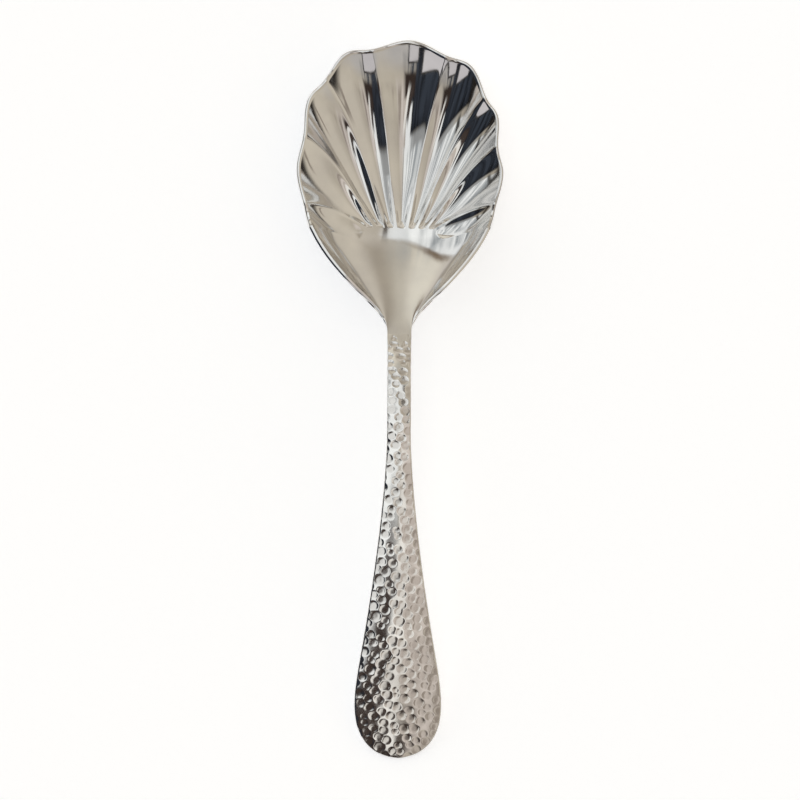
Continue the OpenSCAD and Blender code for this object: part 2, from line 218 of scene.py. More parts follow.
def ease(v):
    """Smooth step from 0 to 1."""
    c = np.clip(v, 0, 1)
    return c * c * (3 - 2 * c)


def cubic(a, b, p, q, v):
    """Cubic from a to b with end slopes p and q, for v from 0 to 1."""
    return (a * (2 * v**3 - 3 * v**2 + 1) + p * (v**3 - 2 * v**2 + v)
            + b * (3 * v**2 - 2 * v**3) + q * (v**3 - v**2))


class Dish:
    """The bowl's sheet before the flutes are pressed in."""

    # From the seam: where the neck ends, the walls are whole, the sheet is thin and the outside spreads
    NECK_START = 1.2 * MM
    WALL_START = 20 * MM
    THIN_RUN = 22 * MM
    SPREAD_RUN = 30 * MM
    # Softness of the walls' end on the heel, and the steep lip's end, fade and steepness
    WALL_BLEND = 3 * MM
    LIP_START = 46 * MM
    LIP_RUN = 18 * MM
    LIP_POWER = 12
    # Step for slopes, and the range and steps of the search for the rim
    SLOPE_STEP = 0.02 * MM
    RIM_RANGE = (5 * MM, 110 * MM)
    RIM_STEPS = 32

    def __init__(self, sizes):
        self.__dict__.update(sizes)
        self.neck_half = self.neck_width / 2
        self.wide_y = TIP_Y - self.tip_reach
        rim_lean = math.atan(self.wall_power * self.depth / (self.width / 2))
        rim_out = self.sheet * math.sin(rim_lean)
        self.mouth_half = self.width / 2 - rim_out
        self.mouth_reach = self.tip_reach - rim_out
        run = math.hypot(self.ramp_length, self.ramp_bend) + self.ramp_length
        self.ramp_slope = 2 * self.neck_rise / run

    def heel_half(self, y):
        """Half width of the mouth on the heel side of the widest line."""
        middle = SEAM_Y + self.shoulder_at
        upper = self.wide_y - middle
        above = cubic(self.mouth_half, self.shoulder_half, 0, -self.shoulder_run * upper,
                      (self.wide_y - y) / upper)
        lower = self.shoulder_at - self.NECK_START
        below = cubic(self.shoulder_half, self.neck_half, -self.shoulder_run * lower, 0,
                      np.clip((middle - y) / lower, 0, 1))
        return np.where(y >= middle, above, below)

    def reach(self, x, y):
        """Reach of a point towards the rim: 0 on the axis and 1 at the rim."""
        n = self.squareness
        ahead = np.maximum(y - self.wide_y, 0) / self.mouth_reach
        tip = ((np.abs(x) / self.mouth_half) ** n + ahead**n) ** (1 / n)
        return np.where(y >= self.wide_y, tip, np.abs(x) / self.heel_half(y))

    def floor(self, y):
        """Height along the axis, level in the bowl and ramped up the heel."""
        d = y - SEAM_Y - self.ramp_length
        return self.ramp_slope * (np.hypot(d, self.ramp_bend) - d) / 2

    def height(self, x, y):
        """Height of the inside, with walls that fade out at the neck."""
        room = self.depth - self.floor(y)
        wall = ease((y - SEAM_Y) / self.WALL_START) * (room + np.hypot(room, self.WALL_BLEND)) / 2
        lip = self.lip_share * ease((SEAM_Y + self.LIP_START - y) / self.LIP_RUN)
        reach = self.reach(x, y)
        return self.floor(y) + wall * ((1 - lip) * reach**self.wall_power + lip * reach**self.LIP_POWER)

    def normal(self, x, y):
        """Unit normal of the inside."""
        h = self.SLOPE_STEP
        n = np.stack([
            (self.height(x - h, y) - self.height(x + h, y)) / (2 * h),
            (self.height(x, y - h) - self.height(x, y + h)) / (2 * h),
            np.ones_like(x),
        ], axis=-1)
        return n / np.linalg.norm(n, axis=-1, keepdims=True)

    def outside(self, p):
        """Points of the outside under points of the inside."""
        x, y = p[..., 0], p[..., 1]
        n = self.normal(x, y)
        n[..., 0] *= ease((y - SEAM_Y) / self.SPREAD_RUN)
        thin = ease((y - SEAM_Y) / self.THIN_RUN)
        thick = self.neck_thickness + (self.sheet - self.neck_thickness) * thin
        return p - thick[..., None] * n

    def plain_rim(self, hub_y, angles):
        """Distance from the hub to the plain rim in each direction, by halving the interval."""
        low, high = (np.full(angles.shape, end) for end in self.RIM_RANGE)
        for _ in range(self.RIM_STEPS):
            mid = (low + high) / 2
            x, y = mid * np.sin(angles), hub_y + mid * np.cos(angles)
            inside = (y > SEAM_Y) & (self.reach(x, y) < 1)
            low, high = np.where(inside, mid, low), np.where(inside, high, mid)
        return (low + high) / 2


def mesh_object(name, points, faces, attributes):
    """A smooth mesh object with float or vector attributes on its points."""
    mesh = bpy.data.meshes.new(name)
    mesh.from_pydata(points.tolist(), [], faces)
    mesh.validate()
    for key, values in attributes.items():
        vector = values.ndim == 2
        layer = mesh.attributes.new(key, "FLOAT_VECTOR" if vector else "FLOAT", "POINT")
        layer.data.foreach_set("vector" if vector else "value", values.astype(np.float32).ravel())
    mesh.shade_smooth()
    made = bpy.data.objects.new(name, mesh)
    bpy.context.scene.collection.objects.link(made)
    return made


def add(tree, kind, inputs=(), **settings):
    """Adds a node with its settings, and links or sets its inputs by place or name."""
    node = tree.nodes.new(kind)
    for key, value in settings.items():
        setattr(node, key, value)
    for key, value in inputs.items() if isinstance(inputs, dict) else enumerate(inputs):
        if isinstance(value, bpy.types.Node):
            value = value.outputs[0]
        if isinstance(value, bpy.types.NodeSocket):
            tree.links.new(value, node.inputs[key])
        elif value is not None:
            node.inputs[key].default_value = value
    return node


def pressing_tree(name, floats):
    """A Geometry Nodes tree with a mesh, named float inputs and a material, and its input node."""
    tree = bpy.data.node_groups.new(name, "GeometryNodeTree")
    tree.interface.new_socket("Geometry", in_out="OUTPUT", socket_type="NodeSocketGeometry")
    tree.interface.new_socket("Geometry", in_out="INPUT", socket_type="NodeSocketGeometry")
    for key in floats:
        tree.interface.new_socket(key, in_out="INPUT", socket_type="NodeSocketFloat")
    tree.interface.new_socket("Material", in_out="INPUT", socket_type="NodeSocketMaterial")
    return tree, add(tree, "NodeGroupInput")


def close_tree(tree, given, offset, kept=None):
    """Moves the points by the offset and ends the tree as a plain mesh with its material.

    kept names a value that is then stored on the points.
    """
    moved = add(tree, "GeometryNodeSetPosition", {"Geometry": given.outputs["Geometry"], "Offset": offset})
    if kept:
        name, value = kept
        moved = add(tree, "GeometryNodeStoreNamedAttribute",
                    {"Geometry": moved, "Name": name, "Value": value})
    plain = add(tree, "GeometryNodeRealizeInstances", [moved])
    dressed = add(tree, "GeometryNodeSetMaterial",
                  {"Geometry": plain, "Material": given.outputs["Material"]})
    add(tree, "NodeGroupOutput", [dressed])


def press(made, tree, values):
    """Runs a pressing tree on an object and keeps the result as its plain mesh."""
    modifier = made.modifiers.new(tree.name, "NODES")
    modifier.node_group = tree
    for socket in tree.interface.items_tree:
        if socket.in_out == "INPUT" and socket.name in values:
            modifier[socket.identifier] = values[socket.name]
    graph = bpy.context.evaluated_depsgraph_get()
    result = bpy.data.meshes.new_from_object(made.evaluated_get(graph), depsgraph=graph)
    made.modifiers.clear()
    blank, made.data = made.data, result
    bpy.data.meshes.remove(blank)
    result.name = made.name
    result.set_sharp_from_angle(angle=SHARP_ANGLE)


def clear_places(made):
    """Drops the places that the pressing trees read."""
    held = made.data.attributes
    for key in [a.name for a in held if a.name.startswith(("flute_", "mark_"))]:
        held.remove(held[key])


def flute_tree():
    """Tree that presses the flutes down, from each point's place across and along its flute."""
    tree, given = pressing_tree("Pressed flutes", ["Depth at the rim", "Depth at the root", "Root round",
                                                   "Ridge softness"])
    place, run, reach, part = (
        add(tree, "GeometryNodeInputNamedAttribute", [key], data_type="FLOAT")
        for key in ("flute_place", "flute_run", "flute_length", "flute_share"))
    math_node = "ShaderNodeMath"
    # How far along the flute, and how far its round end has sunk in
    along = add(tree, math_node, [run, reach], operation="DIVIDE")
    start = add(tree, math_node, [run, given.outputs["Root round"]], operation="DIVIDE", use_clamp=True)
    unsunk = add(tree, math_node, [1.0, start], operation="SUBTRACT")
    unsunk = add(tree, math_node, [unsunk, 2.0], operation="POWER")
    sunk = add(tree, math_node, [1.0, unsunk], operation="SUBTRACT")
    # The flute opens from a finger's width at its round end to the whole width between the ridges
    opening = add(tree, "ShaderNodeMapRange", [along, 0.0, OPENING_RUN, ROOT_OPENING, 1.0])
    across = add(tree, math_node, [place, opening], operation="DIVIDE")
    across = add(tree, math_node, [across], operation="ABSOLUTE")
    across = add(tree, math_node, [across, 1.0], operation="MINIMUM")
    turn = add(tree, math_node, [across, math.pi / 2], operation="MULTIPLY")
    arch = add(tree, math_node, [turn], operation="COSINE")
    # Rounded ridges: the root of the arch squared plus the softness squared, set back to 0 and 1
    soft = given.outputs["Ridge softness"]
    soft_squared = add(tree, math_node, [soft, soft], operation="MULTIPLY")
    whole = add(tree, math_node, [1.0, soft_squared], operation="ADD")
    whole = add(tree, math_node, [whole], operation="SQRT")
    whole = add(tree, math_node, [whole, soft], operation="SUBTRACT")
    rounded = add(tree, math_node, [arch, arch, soft_squared], operation="MULTIPLY_ADD")
    rounded = add(tree, math_node, [rounded], operation="SQRT")
    rounded = add(tree, math_node, [rounded, soft], operation="SUBTRACT")
    rounded = add(tree, math_node, [rounded, whole], operation="DIVIDE")
    # Depth along the flute
    gain = add(tree, math_node, [given.outputs["Depth at the rim"], given.outputs["Depth at the root"]],
               operation="SUBTRACT")
    gain = add(tree, math_node, [gain, along], operation="MULTIPLY")
    deep = add(tree, math_node, [given.outputs["Depth at the root"], sunk, gain], operation="MULTIPLY_ADD")
    deep = add(tree, math_node, [deep, rounded], operation="MULTIPLY")
    deep = add(tree, math_node, [deep, part], operation="MULTIPLY")
    down = add(tree, math_node, [deep, -1.0], operation="MULTIPLY")
    close_tree(tree, given, add(tree, "ShaderNodeCombineXYZ", {"Z": down}))
    return tree


def bowl_spokes(dish, flutes):
    """Spokes of the bowl: angle before the fan's turn, flute number and place across the flute.

    The number is BESIDE next to the fan and ON_SEAM at the neck.
    """
    edges = [-flutes.fan_edge, -flutes.ridge_4, -flutes.ridge_3, -flutes.ridge_2, -flutes.ridge_1]
    edges = np.array(edges + [-e for e in reversed(edges)])
    # Cuts crowd towards the ridges, where the sheet turns fastest
    t = np.arange(FLUTE_CUTS) * 2 / FLUTE_CUTS - 1
    across = (1 - RIDGE_CROWD) * t + RIDGE_CROWD * np.sin(math.pi / 2 * t)
    corner = math.atan2(dish.neck_half, -flutes.hub_at)
    side = np.arange(SIDE_CUTS) / SIDE_CUTS
    seam = dish.neck_half * (1 - 2 * np.arange(SEAM_CUTS) / SEAM_CUTS)
    fan = [edges[f] + (edges[f + 1] - edges[f]) * (across + 1) / 2 for f in range(len(edges) - 1)]
    # Beside the fan the spokes crowd towards the neck, where the rim bends
    wide = corner - flutes.fan_edge
    right = corner - wide * (1 - side) ** SIDE_CROWD
    left = -corner + wide * side**SIDE_CROWD
    angles = [*fan, right, np.arctan2(seam, -flutes.hub_at), left]
    number = [np.repeat(np.arange(len(fan)), FLUTE_CUTS), np.full(SIDE_CUTS, BESIDE),
              np.full(SEAM_CUTS, ON_SEAM), np.where(side == 0, ON_SEAM, BESIDE)]
    place = [np.tile(across, len(fan)), np.zeros(2 * SIDE_CUTS + SEAM_CUTS)]
    return np.concatenate(angles), np.concatenate(number), np.concatenate(place)


def fan_middle(flutes, angles):
    """Share of the fan's turn and sweep: whole in its middle and gone at the fourth ridges."""
    return np.interp(np.abs(angles), [flutes.ridge_2, flutes.ridge_4], [1, 0])


def fan_turned(flutes, angles):
    """Angles of spokes once the middle of the fan is turned."""
    return angles + flutes.fan_turn * fan_middle(flutes, angles)


class SPOON_OT_bowl(bpy.types.Operator):
    """Make the bowl: a dished sheet with flutes pressed into it"""

    bl_idname = "spoon.make_bowl"
    bl_label = "Bowl"

    def execute(self, context):
        dish = Dish(sizes_of(context.scene.spoon_bowl))
        flutes = context.scene.spoon_flutes
        hub_y = SEAM_Y + flutes.hub_at
        angles, number, place = bowl_spokes(dish, flutes)
        count = number.max() + 1
        # Notches of the rim at the ridges; those beside the two side flutes are half as deep and run out
        last = (number == 0) | (number == count - 1)
        flank = (number == 1) & (place < 0) | (number == count - 2) & (place > 0)
        outward = np.where(number == 0, -place, place)
        notch = np.where(last, np.cos(math.pi / 4 * (outward + 1)), np.sin(math.pi / 2 * place)) ** 2
        notch *= np.where(last | flank, SIDE_NOTCH, 1) * (number >= 0)
        rim = dish.plain_rim(hub_y, fan_turned(flutes, angles)) - flutes.lobe_depth * notch
        on_seam = number == ON_SEAM
        rim[on_seam] = np.hypot(flutes.hub_at * np.tan(angles[on_seam]), flutes.hub_at)
        # Direction of each spoke at the flutes' round ends, drawn in beside the fourth ridges
        rim_knots = [0, flutes.ridge_3, flutes.ridge_4, flutes.fan_edge, math.pi]
        root_knots = [0, flutes.ridge_3, flutes.root_4, flutes.root_edge, math.pi]
        root_angles = np.sign(angles) * np.interp(np.abs(angles), rim_knots, root_knots)
        root = np.minimum(flutes.root_reach / np.maximum(np.cos(root_angles), ROOT_LEAN), ROOT_LIMIT * rim)

        # Inside, from the hub to the rim; rings crowd towards the flutes' round ends
        heel = np.arange(1, HEEL_RINGS + 1) / HEEL_RINGS
        t = np.arange(1, FLUTE_RINGS + 1) / FLUTE_RINGS
        t = RING_CROWD * t * t + (1 - RING_CROWD) * t
        run = np.concatenate([root[:, None] * heel, root[:, None] + (rim - root)[:, None] * t], axis=1)
        along = np.clip((run - root[:, None]) / (rim - root)[:, None], 0, 1)
        sweep = 1 - flutes.bow * np.sin(math.pi * along) * fan_middle(flutes, angles)[:, None]
        turned = root_angles[:, None] + (angles - root_angles)[:, None] * along
        turned = fan_turned(flutes, turned * sweep)
        x, y = run * np.sin(turned), hub_y + run * np.cos(turned)
        y[on_seam, -1] = SEAM_Y
        inner = np.stack([x, y, dish.height(x, y)], axis=-1)
        keep = np.r_[np.arange(0, inner.shape[1] - 1, 2), inner.shape[1] - 1]
        outer = dish.outside(inner[:, keep])

        # Beside the neck the edge is narrow, and square to the rim's line
        top, low = inner[:, -1], outer[:, -1]
        away = np.hypot(top[:, 0], top[:, 1] - SEAM_Y) - dish.neck_half
        line = np.roll(top, -1, axis=0) - np.roll(top, 1, axis=0)
        aside = np.column_stack([-line[:, 1], line[:, 0]]) / np.hypot(line[:, 0], line[:, 1])[:, None]
        square = (ease(away / RIM_START) * ~on_seam)[:, None]
        near = ((1 - ease((away - RIM_START) / RIM_RUN)) * ~on_seam)[:, None]
        low[:, :2] += (top[:, :2] + aside * square * RIM_AT_NECK - low[:, :2]) * near
        # Edge from inside to outside: a narrow level band, then a chamfer; straight on the seam
        corner = np.column_stack([low[:, :2], top[:, 2]])
        third, shoulder = (2 * top + low) / 3, (top + 2 * low) / 3
        third += (top + (1 - RIM_CHAMFER) * (corner - top) - third) * square
        fall = RIM_CHAMFER * RIM_SLOPE * np.linalg.norm(corner - top, axis=1)
        fall = np.minimum(fall, RIM_FALL_LIMIT * (top - low)[:, 2])
        shoulder += (corner - np.outer(fall, (0, 0, 1)) - shoulder) * square
        knots = np.stack([top, third, shoulder, low], axis=1)
        at = np.array(RIM_CUTS)
        step = np.minimum(at.astype(int), 2)
        t = (at - step)[:, None]
        edge = knots[:, step] * (1 - t) + knots[:, step + 1] * t
        rows = np.concatenate([inner, edge, outer[:, ::-1]], axis=1)

        spokes, steps = rows.shape[:2]
        hub_in = np.array([[0, hub_y, float(dish.height(np.zeros(1), np.full(1, hub_y))[0])]])
        points = np.concatenate([rows.reshape(-1, 3), hub_in, dish.outside(hub_in)])
        grid = np.arange(spokes * steps).reshape(spokes, steps)
        after = np.roll(grid, -1, axis=0)
        quads = np.stack([grid[:, :-1], grid[:, 1:], after[:, 1:], after[:, :-1]], axis=-1)
        hub = spokes * steps
        faces = [face[::-1] for face in quads.reshape(-1, 4).tolist()]
        faces += [[hub, b, a] for a, b in zip(grid[:, 0].tolist(), after[:, 0].tolist())]
        faces += [[hub + 1, a, b] for a, b in zip(grid[:, -1].tolist(), after[:, -1].tolist())]

        # Each point's place in its flute, the same on both sides of the sheet
        past = np.maximum(run - root[:, None], 0)
        on_edge = np.repeat(past[:, -1:], len(RIM_CUTS), axis=1)
        past = np.concatenate([past, on_edge, past[:, keep][:, ::-1]], axis=1)
        share_of = np.where(last, flutes.side_share, 1) * (number >= 0)
        attributes = {
            "flute_place": np.append(np.repeat(place, steps), [0, 0]),
            "flute_length": np.append(np.repeat(rim - root, steps), [1, 1]),
            "flute_share": np.append(np.repeat(share_of, steps), [0, 0]),
            "flute_run": np.append(past.ravel(), [0, 0]),
        }
        made = mesh_object("shell_bowl", points, faces, attributes)
        press(made, flute_tree(), {
            "Depth at the rim": flutes.depth_rim, "Depth at the root": flutes.depth_root,
            "Root round": flutes.root_round, "Ridge softness": flutes.softness,
            "Material": polished_steel(context.scene.spoon_finish.polished)})
        clear_places(made)
        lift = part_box("bowl")[0].z - min(v.co.z for v in made.data.vertices)
        made.data.transform(Matrix.Translation((0, 0, lift)))
        context.scene.spoon_bowl.lift = lift
        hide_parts("bowl")
        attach(made, "root")
        return {"FINISHED"}


class Blank:
    """The handle before it is hammered, carried by the line along the middle of its front."""

    # From the seam: where the crown and the widening are whole
    CROWN_START = 10 * MM
    FLARE_START = 20 * MM
    # Widest place, from the end, and the powers of the widening and of the round end
    WIDEST_AT = 20 * MM
    FLARE_POWER = 1.5
    ROUND_POWER = 3
    # Width and height of the rounding along the back's edges
    BACK_ROUND = 0.35 * MM
    SIDE_LOW = 0.4 * MM
    # Greatest share of the half width that the rounding of the front's edges takes
    ROLL_LIMIT = 0.4
    # Run of the crowded sections at the end, and the turn that stops them just short of it
    END_RUN = 26 * MM
    END_TURN = math.radians(89.4)
    # Searches: ranges of the slope behind the crest and of the length, their steps, and a step for slopes
    FALL_RANGE = (0.02, 0.7)
    LENGTH_RANGE = (90 * MM, 260 * MM)
    HALVINGS = 40
    SLOPE_STEP = 0.01 * MM

    def __init__(self, sizes, dish):
        self.__dict__.update(sizes)
        self.neck_half = dish.neck_half
        self.neck_thickness = dish.neck_thickness
        seam = np.zeros(1), np.full(1, SEAM_Y)
        _, lean, up = dish.normal(*seam)[0]
        self.slope = math.atan2(lean, up)
        self.start = np.array([SEAM_Y, dish.height(*seam)[0] + dish.lift])
        self.flare = self.width / 2 / self.round_end(END_Y + self.WIDEST_AT) - self.neck_half
        self.fall = self.halve(*self.FALL_RANGE, lambda fall: self.end_gap(fall) > 0)
        self.length = self.line_end(self.fall)

    @staticmethod
    def halve(low, high, beyond):
        """The value at which a test stops holding, by halving the interval."""
        for _ in range(Blank.HALVINGS):
            mid = (low + high) / 2
            low, high = (mid, high) if beyond(mid) else (low, mid)
        return (low + high) / 2

    def line(self, d, fall):
        """Front line as y, z and slope at distances behind the seam, for a slope behind the crest."""
        def arc(radius, a, b):
            return np.array([-radius * (np.sin(a) - np.sin(b)), radius * (np.cos(b) - np.cos(a))])

        d = np.asarray(d, float)
        bend = self.crest_radius * (self.slope + fall)
        neck = np.clip(d, None, self.neck_straight)
        crest = np.clip(d - self.neck_straight, 0, bend)
        back = np.clip(d - self.neck_straight - bend, 0, None)
        over = self.slope - crest / self.crest_radius
        down = over - back / self.back_radius
        place = self.start.reshape((2,) + (1,) * d.ndim) + neck * np.array(
            [-math.cos(self.slope), math.sin(self.slope)]).reshape((2,) + (1,) * d.ndim)
        place = place + arc(self.crest_radius, self.slope, over) + arc(self.back_radius, over, down)
        return place[0], place[1], down

    def line_end(self, fall):
        """Distance at which the front line comes to the end of the handle."""
        return self.halve(*self.LENGTH_RANGE, lambda d: self.line(d, fall)[0] > END_Y)

    def end_gap(self, fall):
        """Height of the end's foot above the table."""
        _, z, slope = self.line(self.line_end(fall), fall)
        return z - self.end_thickness * math.cos(slope) + self.foot_depth

    def round_end(self, y):
        """Share of the width that the round end leaves."""
        into = np.clip((END_Y + self.end_round - y) / self.end_round, 0, 1)
        return np.sqrt(1 - into**self.ROUND_POWER)

    def half(self, y):
        """Half width of the handle."""
        widen_y = END_Y + self.widen_at
        flare = (np.maximum(0, widen_y - y) / (self.widen_at - self.WIDEST_AT)) ** self.FLARE_POWER
        flare = flare * ease((SEAM_Y - y) / self.FLARE_START)
        return (self.neck_half + self.flare * flare) * self.round_end(y)

    def sections(self):
        """Distances of the sections, crowding towards the round end."""
        body = self.length - self.END_RUN
        end_cuts = HANDLE_STATIONS // 4
        t = np.arange(end_cuts + 1) / end_cuts
        straight = body * np.arange(HANDLE_STATIONS - end_cuts) / (HANDLE_STATIONS - end_cuts)
        return np.append(straight, body + self.END_RUN * np.sin(self.END_TURN * t))

    def front_drop(self, x, y):
        """Depth of the front below its middle line: the crown, and the roll along the outline."""
        half = self.half(y)
        h = self.SLOPE_STEP
        flare = (self.half(y + h) - self.half(y - h)) / (2 * h)
        inset = np.maximum(half - np.abs(x), 0) / np.hypot(1, flare)
        t = np.clip(1 - inset / np.minimum(self.edge_round, self.ROLL_LIMIT * half), 0, 1)
        crown = self.crown_share * half * (x / half) ** 2
        return ease((SEAM_Y - y) / self.CROWN_START) * (crown + self.edge_drop * (1 - np.sqrt(1 - t * t)))


# Width of a mark against the usual one: the least, and the spread above it
MARK_LEAST = 0.75
MARK_SPREAD = 0.5
# Angles and gain whose sine scatters shares without a pattern
SCATTER_ROW = 127.1
SCATTER_PLACE = 311.7
SCATTER_GAIN = 43758.5453
# Reach and steps of the table that spreads the rows evenly
EVEN_REACH = 0.4
EVEN_STEPS = 4000
# Wave across the neck along which the hammering starts, and the length over which the marks deepen
RAGGED_WAVE = 0.75 * MM
RAGGED_TURN = 0.8
RAGGED_RUN = 2 * MM
# Profile of a print: a power of the distance, for a flat bottom, then one of the rest, for a soft rim
PRINT_FLATNESS = 3.6
PRINT_POWER = 1.15


def hash_share(i, j):
    """Repeatable share from 0 to 1 for a row and a place."""
    v = np.sin(np.radians(i * SCATTER_ROW + j * SCATTER_PLACE)) * SCATTER_GAIN
    return v - np.floor(v)


def hammer_marks(blank, hammer):
    """Places across and along the front, spread evenly, widths and layers of the marks.

    The marks lie in leaning rows and wander. Marks of one layer never touch each other.
    """
    reach = hammer.wander * hammer.pitch
    row_pitch = hammer.pitch * math.sqrt(3) / 2
    far = even_distance(hammer, blank.length) + blank.width
    rows, side = math.ceil(far / row_pitch), math.ceil(far / hammer.pitch)
    grid = np.meshgrid(np.arange(-rows, rows + 1), np.arange(-side, side + 1), indexing="ij")
    i, j = (g.ravel() for g in grid)
    across = hammer.pitch * (j + (i % 2) / 2) + reach * (2 * hash_share(j + 40, i) - 1)
    behind = row_pitch * i + reach * (2 * hash_share(i, j) - 1)
    turn = math.cos(hammer.lean), math.sin(hammer.lean)
    spots = np.stack([across * turn[0] - behind * turn[1], across * turn[1] + behind * turn[0]], axis=-1)
    widths = hammer.width * (MARK_LEAST + MARK_SPREAD * hash_share(i + 7, j + 3))
    layers = (j - i // 2 + 2 * i) % 3
    kept = (np.abs(spots[:, 0]) < blank.width) & (spots[:, 1] > -hammer.pitch) & (spots[:, 1] < far)
    spots = spots[kept]
    gaps = np.linalg.norm(spots[:, None] - spots, axis=-1)
    np.fill_diagonal(gaps, np.inf)
    return spots, np.minimum(widths[kept], hammer.overlap * gaps.min(axis=1)), layers[kept]


def even_distance(hammer, d):
    """Distance along the front, spread out so that rows that crowd at the neck lie evenly."""
    even = np.linspace(0, EVEN_REACH, EVEN_STEPS)
    lost = hammer.crowding * hammer.crowded_run * (1 - np.exp(-even / hammer.crowded_run))
    return np.interp(d, even - lost, even)


def hammer_tree():
    """Tree that presses the nearest mark into each point of the front, along its normal."""
    tree, given = pressing_tree("Hammer marks", ["Depth", "Usual radius"])
    tree.interface.new_socket("Marks", in_out="INPUT", socket_type="NodeSocketObject")
    math_node = "ShaderNodeMath"
    flat = add(tree, "GeometryNodeInputNamedAttribute", ["mark_flat"], data_type="FLOAT_VECTOR")
    front = add(tree, "GeometryNodeInputNamedAttribute", ["mark_front"], data_type="FLOAT")
    cloud = add(tree, "GeometryNodeObjectInfo", [given.outputs["Marks"]]).outputs["Geometry"]
    nearest = add(tree, "GeometryNodeSampleNearest", {"Geometry": cloud, "Sample Position": flat})
    spot = add(tree, "GeometryNodeSampleIndex", {
        "Geometry": cloud, "Value": add(tree, "GeometryNodeInputPosition"), "Index": nearest},
        data_type="FLOAT_VECTOR")
    radius = add(tree, "GeometryNodeInputNamedAttribute", ["mark_radius"], data_type="FLOAT")
    radius = add(tree, "GeometryNodeSampleIndex", {"Geometry": cloud, "Value": radius, "Index": nearest})
    away = add(tree, "ShaderNodeVectorMath", [flat, spot], operation="DISTANCE").outputs["Value"]
    away = add(tree, math_node, [away, radius], operation="DIVIDE", use_clamp=True)
    # A round print with a flat bottom and a soft rim
    away = add(tree, math_node, [away, PRINT_FLATNESS], operation="POWER")
    cap = add(tree, math_node, [1.0, away], operation="SUBTRACT")
    cap = add(tree, math_node, [cap, PRINT_POWER], operation="POWER")
    # Wider marks are deeper
    wide = add(tree, math_node, [radius, given.outputs["Usual radius"]], operation="DIVIDE")
    deep = add(tree, math_node, [cap, wide], operation="MULTIPLY")
    deep = add(tree, math_node, [deep, given.outputs["Depth"]], operation="MULTIPLY")
    deep = add(tree, math_node, [deep, front], operation="MULTIPLY")
    # Where marks of two layers overlap, the deeper one counts
    held = add(tree, "GeometryNodeInputNamedAttribute", ["mark_depth"], data_type="FLOAT")
    deepest = add(tree, math_node, [held, deep], operation="MAXIMUM")
    move = add(tree, math_node, [held, deepest], operation="SUBTRACT")
    normal = add(tree, "GeometryNodeInputNormal")
    move = add(tree, "ShaderNodeVectorMath", {0: normal, "Scale": move}, operation="SCALE")
    close_tree(tree, given, move, ("mark_depth", deepest))
    return tree


